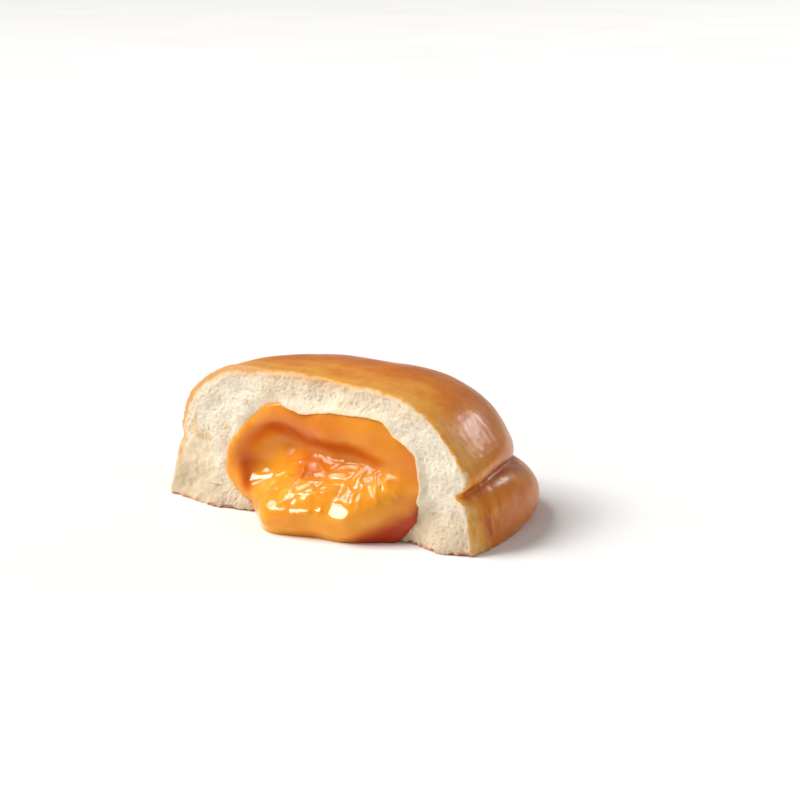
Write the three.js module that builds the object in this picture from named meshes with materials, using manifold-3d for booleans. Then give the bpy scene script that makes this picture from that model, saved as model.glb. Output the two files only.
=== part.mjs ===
// One torn half of a soft kaya bun: a browned crust over white crumb, with the coconut egg jam
// running out of its pocket, over the torn face and onto the surface that the bun stands on.
// Millimetres, +Z up. The torn face looks along -Y, and the origin is the centre of the flat base.
import * as THREE from "three";
import { ImprovedNoise } from "three/addons/math/ImprovedNoise.js";
import { mergeVertices } from "three/addons/utils/BufferGeometryUtils.js";
import Module from "manifold-3d";

const wasm = await Module();
wasm.setup();

// Driving dimensions of the bread. The squareness of an outline is 2 for an ellipse and more for a box.
const DOME_WIDTH = 97;
const DOME_SHIFT = 0.5;
const HALF_DEPTH = 55;
const CROWN_HEIGHT = 42.4;
const PLAN_SQUARENESS = 2.65;
const DOME_SQUARENESS = 3.05;
const TEAR_SAG = { depth: 1.6, reach: 14 };
const CROWN_UNEVENNESS = { height: 0.8, waves: 1.7 };
// The crown is fuller over the left of the torn face.
const LEFT_CROWN = { height: 1.9, x: -29, spread: 9.5, reach: 25 };

// The fold that runs round the side, and the foot that rolls out below it, most at the right of the back.
// Angles are in radians, seen from above.
const FOLD_HEIGHT = { right: 14.4, left: 18.4 };
const FOLD_RISE = { height: 2.6, angle: 0.3, spread: 0.33 };
const FOLD_DEPTH = { right: 3.6, left: 1.4, behind: 1.6 };
const FOLD_WIDTH = 1.5;
const FOLD_WANDER = { height: 0.9, waves: 2.2 };
// The dome bulges out over the fold at the right end of the torn face.
const FOLD_LIP = { reach: 2, above: 5, spread: 4.5 };
const FOOT_FLARE = { right: 3, left: 2.8, power: 1.5 };
const FOOT_ROLL = { back: 3, right_back: 2.9, angle: 0.8, spread: 0.5, roundness: 0.6 };
const BASE_ROUNDING = { inset: 0.6, height: 4 };
const LEFT_SHOULDER = { reach: 2, height: 32, spread: 8.5 };
// The side's relief fades out over this last share of the height, below the crown.
const CROWN_FADE = 0.25;

// The torn face: broad swells, crags that follow the torn strands, and two toes along the floor.
const TEAR_SWELL = { size: 26, depth: 1.3 };
const TEAR_CRAGS = [
  { across: 9, up: 6, depth: 0.9 },
  { across: 4.2, up: 3, depth: 0.5 },
];
const TEAR_TOES = [
  { x: -33, spread: 9, reach: 3.2, height: 10 },
  { x: 43, spread: 6, reach: 3.8, height: 10 },
];
const TEAR_STEP = 1.9;
const TEAR_BLOCK_MARGIN = 14;

// The mouth of the jam's pocket on the torn face, as [x, z] from its right end on the floor,
// over the top and down to its left end on the floor. Rings of facets run out from its centre.
const MOUTH_OUTLINE = [
  [26.5, 0],
  [31, 4.4],
  [33.7, 10.5],
  [33.4, 20],
  [31.8, 25.5],
  [26.5, 28],
  [23.4, 31.5],
  [10, 32],
  [3, 31.4],
  [-3, 30.4],
  [-8.5, 32],
  [-15.5, 30.2],
  [-24, 23],
  [-28.8, 16],
  [-29.2, 10.5],
  [-27.6, 7.2],
  [-24.4, 5],
  [-20.2, 2.8],
  [-16.5, 0],
];
const MOUTH_CENTRE = [3, 14];

// The pocket behind the mouth. Its floor lifts off the base between the two depths of the ramp.
const POCKET = { edge: 2, depth: 30, floor: 6, ramp: [3, 15] };
const JAM_GAP = 0.3;

// The run of jam in front of the mouth, with the hollows that it slumped out of. Tilts are in radians.
// A hollow's sides are steep to its left, and can be softer to its right.
// The right flank leans out with height by a share of it.
const RUN = { left: -12.5, right: 21.8, lean: 0.5, flank: 8.5, top: 20.5, shelf: 5.5 };
const RUN_REACH = { left: 14, right: 9.5 };
const RUN_SWELL = { size: 13, height: 1.6 };
const RUN_UNDERCUT = { depth: 1.2, height: 2 };
const DENTS = [
  { centre: [-13.8, 17], radii: [11.2, 8.6], tilt: 0.35, depth: 7.5, steepness: [2.5, 1.4] },
  { centre: [11, 19.4], radii: [16, 4.6], tilt: -0.08, depth: 3, steepness: [1.6, 1.6] },
];
const LUMPS = { size: 7, height: 0.7 };
const JAM_LIP = 1.8;
// A higher power keeps the lip, dents and lumps in full relief closer to the edge of the mouth.
const EDGE_POWER = 6;

// Separate layers of one noise, so that no two reliefs repeat each other.
const NOISE_LAYER = { swell: 0.4, crown: 2.1, lumps: 3.3, run: 4.2, fold: 5, crags: 7, crag_step: 3 };

// Facets.
const BUN_SEGMENTS = 92;
const BUN_ROWS = 36;
// Rows between these shares of the height are split, so that the fold is sharp.
const FINE_ROWS = { from: 0.2, to: 0.5, splits: 2 };
const BASE_RINGS = 2;
const MOUTH_SEGMENTS = 66;
const RUN_RINGS = 24;
const POCKET_RINGS = 10;
const MERGE_DISTANCE = 1e-4;

const CRUST = new THREE.MeshStandardMaterial({ color: "#cf8a3c", roughness: 0.35, metalness: 0 });
const JAM = new THREE.MeshStandardMaterial({ color: "#dd7f22", roughness: 0.15, metalness: 0 });

const noise = new ImprovedNoise();
const { smoothstep, lerp } = THREE.MathUtils;
const signedPower = (value, power) => Math.sign(value) * Math.abs(value) ** power;
const bell = (value) => Math.exp(-value * value);

// A closed geometry as a solid that can be joined and cut.
function solidOf(geometry) {
  const bare = new THREE.BufferGeometry();
  bare.setAttribute("position", geometry.getAttribute("position").clone());
  bare.setIndex(geometry.getIndex());
  const merged = mergeVertices(bare, MERGE_DISTANCE);
  return new wasm.Manifold(
    new wasm.Mesh({
      numProp: 3,
      vertProperties: new Float32Array(merged.getAttribute("position").array),
      triVerts: new Uint32Array(merged.getIndex().array),
    }),
  );
}

function geometryOf(solid) {
  const mesh = solid.getMesh();
  const geometry = new THREE.BufferGeometry();
  geometry.setAttribute("position", new THREE.BufferAttribute(mesh.vertProperties, 3));
  geometry.setIndex(new THREE.BufferAttribute(mesh.triVerts, 1));
  return geometry.toNonIndexed();
}

function moveVertices(geometry, moved) {
  const position = geometry.getAttribute("position");
  const point = new THREE.Vector3();
  for (let i = 0; i < position.count; i++) {
    moved(point.fromBufferAttribute(position, i));
    position.setXYZ(i, point.x, point.y, point.z);
  }
  return geometry;
}

// The upright section of the bun, from the edge of its base to its crown, as shares of its
// radius and height.
class DomeCurve extends THREE.Curve {
  getPoint(t, target = new THREE.Vector2()) {
    const turn = (t * Math.PI) / 2;
    const power = 2 / DOME_SQUARENESS;
    return target.set(Math.cos(turn) ** power, Math.sin(turn) ** power);
  }
}

// How far the side stands out beyond the plain dome at a height, for an angle seen from above.
// An angle of 0 is the right end of the torn face, a quarter turn the back and a half turn the left end.
function sideRelief(angle, height) {
  const leftness = (1 - Math.cos(angle)) / 2;
  const behind = Math.max(0, Math.sin(angle));
  const { waves } = FOLD_WANDER;
  const wander = noise.noise(waves * Math.cos(angle), waves * Math.sin(angle), NOISE_LAYER.fold);
  const foldHeight =
    lerp(FOLD_HEIGHT.right, FOLD_HEIGHT.left, leftness) +
    FOLD_RISE.height * bell((angle - FOLD_RISE.angle) / FOLD_RISE.spread) +
    FOLD_WANDER.height * wander;
  const foldDepth = lerp(lerp(FOLD_DEPTH.right, FOLD_DEPTH.left, leftness), FOLD_DEPTH.behind, behind);
  const fold = -foldDepth * Math.exp(-Math.abs(height - foldHeight) / FOLD_WIDTH);
  const fromLip = (height - foldHeight - FOLD_LIP.above) / FOLD_LIP.spread;
  const lip = FOLD_LIP.reach * (1 - leftness) * (1 - behind) * bell(fromLip);
  const up = Math.min(1, height / foldHeight);
  const flare = lerp(FOOT_FLARE.right, FOOT_FLARE.left, leftness) * (1 - up) ** FOOT_FLARE.power;
  const rollReach =
    FOOT_ROLL.back * behind + FOOT_ROLL.right_back * bell((angle - FOOT_ROLL.angle) / FOOT_ROLL.spread);
  const roll = rollReach * Math.max(0, Math.sin(Math.PI * up)) ** FOOT_ROLL.roundness;
  const roundedEdge = -BASE_ROUNDING.inset * Math.max(0, 1 - height / BASE_ROUNDING.height) ** 2;
  const fromShoulder = (height - LEFT_SHOULDER.height) / LEFT_SHOULDER.spread;
  const shoulder = LEFT_SHOULDER.reach * leftness * bell(fromShoulder);
  return fold + lip + flare + roll + roundedEdge + shoulder;
}

// The rows of facets from the base up to the crown, with finer ones round the fold.
function sideRows() {
  let rows = new DomeCurve().getSpacedPoints(BUN_ROWS);
  for (let split = 0; split < FINE_ROWS.splits; split++) {
    rows = rows.flatMap((row, i) => {
      const isFine = row.y > FINE_ROWS.from && row.y < FINE_ROWS.to;
      return isFine ? [row, row.clone().lerp(rows[i + 1], 0.5)] : [row];
    });
  }
  return rows;
}

// The whole outer form of the bread, with a stub in front of the torn face for the tear to cut off.
function bunForm() {
  const side = sideRows();
  const base = Array.from({ length: BASE_RINGS }, (_, i) => new THREE.Vector2(i / BASE_RINGS, 0));
  const crown = side.pop().set(0, 1);
  const profile = [...base, ...side, crown];
  const lathe = new THREE.LatheGeometry(profile, BUN_SEGMENTS).rotateX(Math.PI / 2);
  const power = 2 / PLAN_SQUARENESS;
  return moveVertices(lathe, (p) => {
    const radius = Math.hypot(p.x, p.y);
    const angle = Math.atan2(p.y, p.x);
    const outX = radius * signedPower(Math.cos(angle), power);
    const outY = radius * signedPower(Math.sin(angle), power);
    const fade = Math.min(1, (1 - p.z) / CROWN_FADE);
    const relief = radius > 0 ? fade * sideRelief(angle, p.z * CROWN_HEIGHT) : 0;
    const { waves } = CROWN_UNEVENNESS;
    const uneven = p.z * noise.noise(waves * outX, waves * outY, NOISE_LAYER.crown);
    p.x = outX * (DOME_WIDTH / 2 + relief) + DOME_SHIFT;
    p.y = outY * (HALF_DEPTH + relief);
    const sag = TEAR_SAG.depth * bell(p.y / TEAR_SAG.reach);
    const fromLeftCrown = Math.hypot((p.x - LEFT_CROWN.x) / LEFT_CROWN.spread, p.y / LEFT_CROWN.reach);
    const leftCrown = LEFT_CROWN.height * bell(fromLeftCrown);
    p.z *= CROWN_HEIGHT - sag + leftCrown + CROWN_UNEVENNESS.height * uneven;
  });
}

// How far the torn face stands back from the plane of the tear.
function tearAt(x, z) {
  let y = TEAR_SWELL.depth * noise.noise(x / TEAR_SWELL.size, z / TEAR_SWELL.size, NOISE_LAYER.swell);
  TEAR_CRAGS.forEach((crag, i) => {
    const layer = NOISE_LAYER.crags + NOISE_LAYER.crag_step * i;
    y += crag.depth * noise.noise(x / crag.across, z / crag.up, layer);
  });
  for (const toe of TEAR_TOES) {
    y -= toe.reach * bell((x - toe.x) / toe.spread) * (1 - smoothstep(z, 0, toe.height));
  }
  return y;
}

// A block that holds everything behind the tear, with the torn relief on its front.
function behindTear() {
  const width = DOME_WIDTH + 2 * TEAR_BLOCK_MARGIN;
  const height = CROWN_HEIGHT + 2 * TEAR_BLOCK_MARGIN;
  const depth = HALF_DEPTH + TEAR_BLOCK_MARGIN;
  const columns = Math.round(width / TEAR_STEP);
  const rows = Math.round(height / TEAR_STEP);
  const block = new THREE.BoxGeometry(width, depth, height, columns, 1, rows);
  return moveVertices(block, (p) => {
    const isFront = p.y < 0;
    p.z += CROWN_HEIGHT / 2;
    p.y = isFront ? tearAt(p.x, p.z) : depth;
  });
}

// Points round the mouth, moved out by a gap. The last part of the ring runs along the floor.
function mouthRing(gap) {
  const points = MOUTH_OUTLINE.map(([x, z]) => new THREE.Vector3(x, 0, z));
  const curve = new THREE.CatmullRomCurve3(points, false, "centripetal");
  const floorRight = points[0].x;
  const floorLeft = points[points.length - 1].x;
  const floorWidth = floorRight - floorLeft;
  const floorSteps = Math.round((MOUTH_SEGMENTS * floorWidth) / (curve.getLength() + floorWidth));
  const archSteps = MOUTH_SEGMENTS - floorSteps;
  const ring = [];
  for (let i = 0; i <= archSteps; i++) {
    const point = curve.getPointAt(i / archSteps);
    const along = curve.getTangentAt(i / archSteps);
    ring.push(new THREE.Vector2(point.x + gap * along.z, Math.max(0, point.z) - gap * along.x));
  }
  for (let i = 1; i < floorSteps; i++) {
    ring.push(new THREE.Vector2(lerp(floorLeft, floorRight, i / floorSteps), -gap));
  }
  return ring;
}

// The depth of a tilted hollow. The steeper its sides, the flatter its floor.
function dentAt({ centre, radii, tilt, depth, steepness }, x, z) {
  const turned = new THREE.Vector2(x - centre[0], z - centre[1]).rotateAround(new THREE.Vector2(), -tilt);
  const right = turned.x / radii[0];
  const away = Math.hypot(right, turned.y / radii[1]);
  return depth * bell(away ** lerp(...steepness, smoothstep(right, 0, 1)));
}

// How far the front of the jam stands from the plane of the tear, forwards being negative.
// The share is 0 at the centre of the mouth and 1 at its edge.
function jamFront(x, z, share) {
  const { left, lean, flank, top, shelf } = RUN;
  const right = RUN.right + lean * z;
  const fromLeft = smoothstep(x, left - flank, left + flank);
  const fromRight = 1 - smoothstep(x, right - flank, right + flank);
  const down = 1 - smoothstep(z, shelf, top);
  const swell = RUN_SWELL.height * noise.noise(x / RUN_SWELL.size, z / RUN_SWELL.size, NOISE_LAYER.run);
  const reach = lerp(RUN_REACH.left, RUN_REACH.right, smoothstep(x, left, right)) + swell;
  const undercut = RUN_UNDERCUT.depth * bell(z / RUN_UNDERCUT.height);
  const run = -fromLeft * fromRight * (reach * down - undercut);
  const dents = DENTS.reduce((depth, dent) => depth + dentAt(dent, x, z), 0);
  const lumps = LUMPS.height * noise.noise(x / LUMPS.size, z / LUMPS.size, NOISE_LAYER.lumps);
  const inside = 1 - share ** EDGE_POWER;
  return run + (dents + lumps - JAM_LIP) * inside;
}

// A skin of rings from the centre of the mouth out to a ring: place(x, z, share) puts each point in space.
function ringSkin(ring, rings, place) {
  const [middleX, middleZ] = MOUTH_CENTRE;
  const points = [place(middleX, middleZ, 0)];
  for (let r = 1; r <= rings; r++) {
    const share = Math.sin((r / rings) * (Math.PI / 2));
    for (const edge of ring) {
      points.push(place(lerp(middleX, edge.x, share), lerp(middleZ, edge.y, share), share));
    }
  }
  return points;
}

// The triangles of a ring skin whose points start at an index. A flipped skin faces the other way.
function skinTriangles(count, rings, first, flipped) {
  const triangles = [];
  const add = (a, b, c) => triangles.push(...(flipped ? [a, c, b] : [a, b, c]).map((i) => i + first));
  for (let i = 0; i < count; i++) {
    const next = (i + 1) % count;
    add(0, 1 + i, 1 + next);
    for (let r = 0; r < rings - 1; r++) {
      const inner = 1 + r * count;
      const outer = inner + count;
      add(inner + i, outer + i, outer + next);
      add(inner + i, outer + next, inner + next);
    }
  }
  return triangles;
}

// A closed solid in the mouth: a front skin that frontAt(x, z, share) shapes, and the wall of the pocket.
function mouthSolid(gap, frontAt) {
  const ring = mouthRing(gap);
  const front = ringSkin(ring, RUN_RINGS, (x, z, share) => new THREE.Vector3(x, frontAt(x, z, share), z));
  const wall = ringSkin(ring, POCKET_RINGS, (x, z, share) => {
    const depth = POCKET.edge + POCKET.depth * Math.sqrt(1 - share * share) + gap;
    const floor = POCKET.floor * smoothstep(depth, ...POCKET.ramp) - gap;
    return new THREE.Vector3(x, depth, Math.max(z, floor));
  });
  const count = ring.length;
  const triangles = [
    ...skinTriangles(count, RUN_RINGS, 0, false),
    ...skinTriangles(count, POCKET_RINGS, front.length, true),
  ];
  const frontEdge = front.length - count;
  const wallEdge = front.length + wall.length - count;
  for (let i = 0; i < count; i++) {
    const next = (i + 1) % count;
    triangles.push(frontEdge + i, wallEdge + i, frontEdge + next);
    triangles.push(frontEdge + next, wallEdge + i, wallEdge + next);
  }
  const geometry = new THREE.BufferGeometry().setFromPoints([...front, ...wall]);
  geometry.setIndex(triangles);
  return solidOf(geometry);
}

function jamSolid() {
  return mouthSolid(0, jamFront);
}

// The bread is cut clear of the jam, and of everything in front of it.
function breadSolid() {
  const clearFront = -2 * RUN_REACH.left;
  const mouthCutter = mouthSolid(JAM_GAP, () => clearFront);
  return solidOf(bunForm()).intersect(solidOf(behindTear())).subtract(mouthCutter);
}

const bread = new THREE.Mesh(geometryOf(breadSolid()), CRUST);
bread.name = "bread";
const jam = new THREE.Mesh(geometryOf(jamSolid()), JAM);
jam.name = "kaya_jam";

const bunHalf = new THREE.Group();
bunHalf.add(bread, jam);
bunHalf.position.y = -HALF_DEPTH / 2;

export default bunHalf;
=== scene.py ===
"""The looks of a torn kaya bun half: egg-washed crust, torn fibrous crumb and a run of glossy jam.

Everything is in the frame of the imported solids: +Z up, and the torn face looks along -Y. Objects are in
metres, and their relief is worked out in millimetres.

A constant that is a row of numbers is a range, a spot or a noise, unless its comment says otherwise. A
range is where a field is 0 and where it is 1. A spot is the middle of a field and its width. A noise is
its height, its wavelengths, its octaves and its layer.
"""
import math

import bmesh
import bpy
import numpy as np
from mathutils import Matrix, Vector, noise
from mathutils.bvhtree import BVHTree
from mathutils.kdtree import KDTree


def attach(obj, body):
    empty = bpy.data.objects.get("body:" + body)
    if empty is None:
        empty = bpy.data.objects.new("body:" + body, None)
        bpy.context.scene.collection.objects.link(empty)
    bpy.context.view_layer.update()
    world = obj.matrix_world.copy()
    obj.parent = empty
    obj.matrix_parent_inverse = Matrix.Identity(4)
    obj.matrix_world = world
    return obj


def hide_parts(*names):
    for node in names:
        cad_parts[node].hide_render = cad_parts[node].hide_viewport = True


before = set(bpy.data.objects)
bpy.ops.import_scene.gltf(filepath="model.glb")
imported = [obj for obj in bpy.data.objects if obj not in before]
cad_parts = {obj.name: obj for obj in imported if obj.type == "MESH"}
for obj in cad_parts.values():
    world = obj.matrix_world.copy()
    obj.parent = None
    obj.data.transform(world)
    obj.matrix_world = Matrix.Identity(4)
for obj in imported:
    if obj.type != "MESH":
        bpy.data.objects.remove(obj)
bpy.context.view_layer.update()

MM = 0.001

# The plane of the tear and how far the torn face reaches behind it, the centre and radius of the arch that
# the torn strands run round, and the middle of the mouth. Centres are in x and z.
TEAR_Y = -27.5
TEAR_DEPTH = 3
ARCH_CENTRE = (2, 6)
ARCH_RADIUS = 32
MOUTH_CENTRE = (3, 14)

# The sizes of the meshes' faces, the cuts that split those of the tear, and the rounds, weight and rebound
# of their smoothing.
BREAD_VOXEL = 0.5
BREAD_SMOOTHING = (16, 0.5, 0.51)
TEAR_CUTS = 1
TEAR_SMOOTHING = (3, 0.5, 0.51)
JAM_VOXEL = 0.4
JAM_SMOOTHING = (60, 0.5, 0.47)
DISTANCE_ROUNDS = 2


# Mesh helpers. Points are in millimetres.

def points_of(mesh):
    points = np.empty(len(mesh.vertices) * 3)
    mesh.vertices.foreach_get("co", points)
    return points.reshape(-1, 3) / MM


def normals_of(mesh):
    normals = np.empty(len(mesh.vertices) * 3)
    mesh.vertex_normals.foreach_get("vector", normals)
    return normals.reshape(-1, 3)


def edges_of(mesh):
    edges = np.empty(len(mesh.edges) * 2, dtype=np.int64)
    mesh.edges.foreach_get("vertices", edges)
    return edges.reshape(-1, 2)


def move_to(mesh, points):
    mesh.vertices.foreach_set("co", np.ascontiguousarray(points * MM).ravel())
    mesh.update()


def store(mesh, name, values):
    """Keeps one number for each vertex, for a material to read."""
    attribute = mesh.attributes.new(name, "FLOAT", "POINT")
    attribute.data.foreach_set("value", np.ascontiguousarray(values, dtype=np.float32))


def neighbour_mean(values, edges):
    """The mean of each vertex's neighbours, for an array with one row for each vertex."""
    first, second = edges.T
    size = len(values)
    count = np.bincount(edges.ravel(), minlength=size)
    columns = [
        np.bincount(first, column[second], size) + np.bincount(second, column[first], size)
        for column in values.reshape(size, -1).T
    ]
    return (np.array(columns) / np.maximum(count, 1)).T.reshape(values.shape)


def smoothed(values, edges, rounds, weight=0.5, rebound=0.0):
    """Values drawn to their neighbours. A rebound near the weight keeps a form from shrinking."""
    for _ in range(rounds):
        values = values + weight * (neighbour_mean(values, edges) - values)
        if rebound:
            values = values - rebound * (neighbour_mean(values, edges) - values)
    return values


def remeshed_copy(node, name, voxel):
    """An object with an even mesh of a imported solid."""
    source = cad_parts[node]
    piece = bpy.data.objects.new(name, source.data.copy())
    bpy.context.scene.collection.objects.link(piece)
    remesh = piece.modifiers.new("remesh", "REMESH")
    remesh.mode = "VOXEL"
    remesh.voxel_size = voxel * MM
    evaluated = piece.evaluated_get(bpy.context.evaluated_depsgraph_get())
    mesh = bpy.data.meshes.new_from_object(evaluated)
    piece.modifiers.clear()
    piece.data = mesh
    mesh.materials.clear()
    return piece


def solid_surface(node, keep=None):
    """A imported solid's faces, or those whose centre and normal pass a test, for measuring distances."""
    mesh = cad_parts[node].data
    points = [vertex.co / MM for vertex in mesh.vertices]
    faces = [
        tuple(face.vertices)
        for face in mesh.polygons
        if keep is None or keep(face.center / MM, face.normal)
    ]
    return BVHTree.FromPolygons(points, faces)


def distance_at(surface, point):
    _, _, _, distance = surface.find_nearest(point)
    return distance


def distance_to(surface, points):
    return np.array([distance_at(surface, point) for point in points.tolist()])


def distance_to_points(places, points):
    """How far each point is from the nearest of some places."""
    tree = KDTree(len(places))
    for i, place in enumerate(places.tolist()):
        tree.insert(place, i)
    tree.balance()
    return np.array([tree.find(point)[2] for point in points.tolist()])


def nearest_on_line(line, points):
    """The nearest place to each point on a line of points."""
    nearest = np.tile(line[0], (len(points), 1)).astype(float)
    for start, end in zip(np.array(line[:-1], float), np.array(line[1:], float)):
        way = end - start
        share = np.clip((points - start) @ way / (way @ way), 0, 1)
        place = start + share[:, None] * way
        closer = np.linalg.norm(points - place, axis=1) < np.linalg.norm(points - nearest, axis=1)
        nearest[closer] = place[closer]
    return nearest


def distance_to_line(line, points):
    return np.linalg.norm(points - nearest_on_line(line, points), axis=1)


def way_from(centre, points):
    """Vectors of length 1 away from an (x, z) centre line, square to it."""
    x, _, z = points.T
    ways = np.column_stack([x - centre[0], np.zeros(len(x)), z - centre[1]])
    return ways / np.linalg.norm(ways, axis=1)[:, None]


# Fields over points.

# Each octave of a noise has this many times the waves of the last, and its height falls by this power.
OCTAVE_STEP = 2.0
OCTAVE_FALL = 1.0

# How steep the sides of ridges are.
RIDGE_STEEPNESS = 2.6

# Torn bubbles: the range of their walls, the least depth of a cell as a share, and what spreads the cells'
# centres out, so that each cell has a depth of its own.
BUBBLE_WALL = (0.0, 0.55)
LEAST_BUBBLE = 0.6
BUBBLE_SPREAD = 7.31


def step(values, low, high):
    """A smooth step from 0 at low to 1 at high."""
    share = np.clip((values - low) / (high - low), 0, 1)
    return share * share * (3 - 2 * share)


def bell(values):
    """1 at 0, falling to about 0 at 2 on both sides."""
    return np.exp(-values * values)


def spot(values, middle, width):
    return bell((values - middle) / width)


def blend(first, second, share):
    return first + (second - first) * share


def waves(points, height, sizes, octaves, layer):
    """Noise that runs from about -1 to 1 times its height, with one wavelength or one for each axis."""
    scaled = points / np.asarray(sizes) + layer
    heights = [noise.fractal(point, OCTAVE_FALL, OCTAVE_STEP, octaves) for point in scaled.tolist()]
    return height * np.array(heights)


def ridges(points, height, sizes, octaves, layer):
    """Noise like waves, with sharp crests and round valleys."""
    return height * (1 - RIDGE_STEEPNESS * np.abs(waves(points, 1, sizes, octaves, layer)))


def bubbles(points, depth, sizes, layer):
    """Torn bubbles: 0 on the walls between cells, and up to a depth in a cell, each cell with its own."""
    scaled = points / np.asarray(sizes) + layer
    wall = np.empty(len(points))
    own = np.empty(len(points))
    for i, point in enumerate(scaled.tolist()):
        distances, centres = noise.voronoi(point)
        wall[i] = distances[1] - distances[0]
        own[i] = noise.cell(centres[0] * BUBBLE_SPREAD)
    return depth * step(wall, *BUBBLE_WALL) * (LEAST_BUBBLE + (1 - LEAST_BUBBLE) * own)


# The bread.

# What tells the bread's faces apart: the way they face, and how near they are to the floor or the jam.
TEAR_FACING = -0.4
CUT_FACING = -0.15
BASE_FACING = -0.9
BASE_TOP = 0.2
TEAR_FROM_JAM = 0.4
POCKET_TO_JAM = 0.6

# Regions of the bread.
LEFT_X = (-4, -36)
ABOVE_NOTCH_Z = (15, 20)
FILM_X = (-30, -38)
FILM_Z = (20, 15)

# How far the crust wraps round the edge of the torn face, where crumb and crust begin beside that, and
# the places of their materials.
WRAP_WIDTH = 0.25
WRAP_AT_LEFT = 0.6
WRAP_FRAY = (0.45, 2.6, 3, 0)
WRAP_DRIFT = (0.4, 7, 2, 2.9)
TORN_WRAP = 0.5
TORN_INSET = (0.2, 1.2)
TORN_BEHIND = (1.2, 0.4)
CRUST_INSET = (0.25, -0.15)
CRUST_BEHIND = (1.5, 2.5)
CRUST_SHARE = 0.5
CRUST_INDEX = 0
CRUMB_INDEX = 1

# The rim of the torn face, which rolls back into the crust and stands out at the left.
RIM_WIDTH = 0.6
RIM_INSET = 1.7
RIM_BEHIND = 3
FLARE = 0.69
FLARE_LOSS = 0.55
FLARE_LOSS_X = (-38, -32)

# The crumb round the mouth, and where it hangs over the edge of the jam.
NEAR_JAM = 1.8
MOUTH_EDGE_Y = TEAR_Y + 0.1
MOUTH_EDGE_PULL = 0.8
CRUMB_LAP_REACH = 2.2
CRUMB_LAP_Y = (TEAR_Y + 5, TEAR_Y + 1)
CRUMB_LAP_FORWARD = 1.5
OVER_JAM_X = (-13, -8)
OVER_JAM_Z = (7, 14)

# How far the edge of the mouth stands outside the solid's: everywhere, and what is added at three places.
MOUTH_GROWTH = -0.3
PEAK_GROWTH = -0.9
PEAK_X = (-8, 4)
PEAK_Z = (27, 31)
RIGHT_TOP_GROWTH = 0.6
RIGHT_TOP_X = (27, 6)
RIGHT_TOP_Z = (22, 26)
RIGHT_EDGE_GROWTH = 1.2
RIGHT_EDGE_X = (29, 33)
RIGHT_EDGE_FOOT_Z = (11, 15)
RIGHT_EDGE_HEAD_Z = (27, 23)

# Relief of the torn crumb, with its pits as (depth, sizes, layer). The large pits lie along the strands,
# and the film is a folded skin at the left.
STRAND_DEPTH = 0.5
STRAND_SWAY = (1.5, (8, 8, 6), 2, 3.7)
STRAND_SHIFT = (1.5, (8, 8, 6), 2, 0.7)
TUFTS = (0.5, (9, 6, 8), 2, 0)
STRANDS = (0.1, (2.4, 0.9, 2.4), 2, 5.7)
FINE_CRUMB = (0.13, 0.7, 2, 2.3)
LARGE_PITS = (0.4, (2.1, 1.7, 1.9), 1.9)
MIDDLE_PITS = (0.35, (1.2, 1.2, 1.1), 8.3)
SMALL_PITS = (0.25, 0.7, 4.1)
PIT_DEPTH = 0.58
FILM_FOLDS = (0.4, (6, 6, 4.5), 2, 8.1)
FILM_GRAIN = (0.14, 1.4, 2, 6.1)
FILM_SHARE = 0.75
FILM_PIT_LOSS = 0.8
RELIEF_LOSS = 0.5
RELIEF_LIFT = 0.3
RELIEF_LIFT_Z = (0.5, 3)
RAGGED_NOISE = (1, 2.2, 2, 5.1)
RAGGED_RANGE = (-0.1, 0.4)
RAGGED_HEIGHT = 0.9
RAGGED_TOP = 1.6

# Relief of the crust: dents, upright wrinkles on the foot by the tear, a shoulder and a toe at the left.
PLAIN_INSET = (0.6, 0.2)
DENTS = (0.28, 16, 2, 4.4)
UNEVENNESS = (0.05, 2.6, 2, 6.6)
WRINKLES = (0.38, (2.4, 2.4, 11), 2, 2.2)
WRINKLE_Z = (13, 9)
WRINKLE_START_BEHIND = (0.3, 2)
WRINKLE_END_BEHIND = (16, 6)
SHOULDER = 0.3
SHOULDER_Z = (20, 30)
TOE = 1.1
TOE_X = (-40, -48)
TOE_Z = (7, 1)
TOE_BEHIND = (9, 1)
SMOOTH_RIM_BEHIND = (5, 3)
SMOOTH_RIM_ROUNDS = 3

# How dark the crust is baked: all over, and what is added or taken off at places.
BAKE = 0.31
BACK_BAKE = 0.11
BACK_BEHIND = (1, 26)
TOP_BAKE = 0.09
TOP_Z = (16, 38)
TOP_BEHIND = (3, 18)
BAKE_CLOUDS = (0.1, 17, 2, 1.1)
BAKE_STREAKS = (0.07, (22, 2.6, 2.6), 3, 7.7)
STREAKS_BEHIND = (26, 6)
LEFT_EDGE_BAKE = 0.05
LEFT_EDGE_X = (0, -30)
LEFT_EDGE_BEHIND = (4, 1)
INNER_EDGE_BAKE = -0.12
INNER_EDGE_WIDTH = 0.4
INNER_EDGE_BEHIND = (2, 0.8)
RIGHT_FOOT_BAKE = -0.1
RIGHT_FOOT_X = (20, 34)
RIGHT_FOOT_Z = (14, 11)
RIGHT_FOOT_BEHIND = (9, 1)
LEFT_FOOT_BAKE = -0.24
LEFT_FOOT_X = (-28, -36)
LEFT_FOOT_Z = (19, 15)
LEFT_FOOT_BEHIND = (7, 0)

# The darkening along creases, partly browning and partly painted shade, with more painted shade where the
# crust hangs over a crease: what counts as a crease, and how dark and wide it is.
HOLLOW_ROUNDS = 30
CREASE_HOLLOW = 0.2
CREASE_BEHIND = 2.5
PLAIN_FOOT_X = -20
PLAIN_FOOT_TOP = 8
CREASE_BROWNING_AND_SHADE = 0.22
OVERHANG_SHADE = 0.2
OVERHANG_FACING = (0.3, -0.1)
CREASE_REACH = 2.4
CREASE_FADE_BEHIND = (0.5, 3)

# Where the crust is glossy, and where its rim is pale.
GLOSS_BEHIND = (0, 3.5)
PALE_RIM_X = (-8, -28)
PALE_RIM_BEHIND = (4.5, 0.5)
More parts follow.
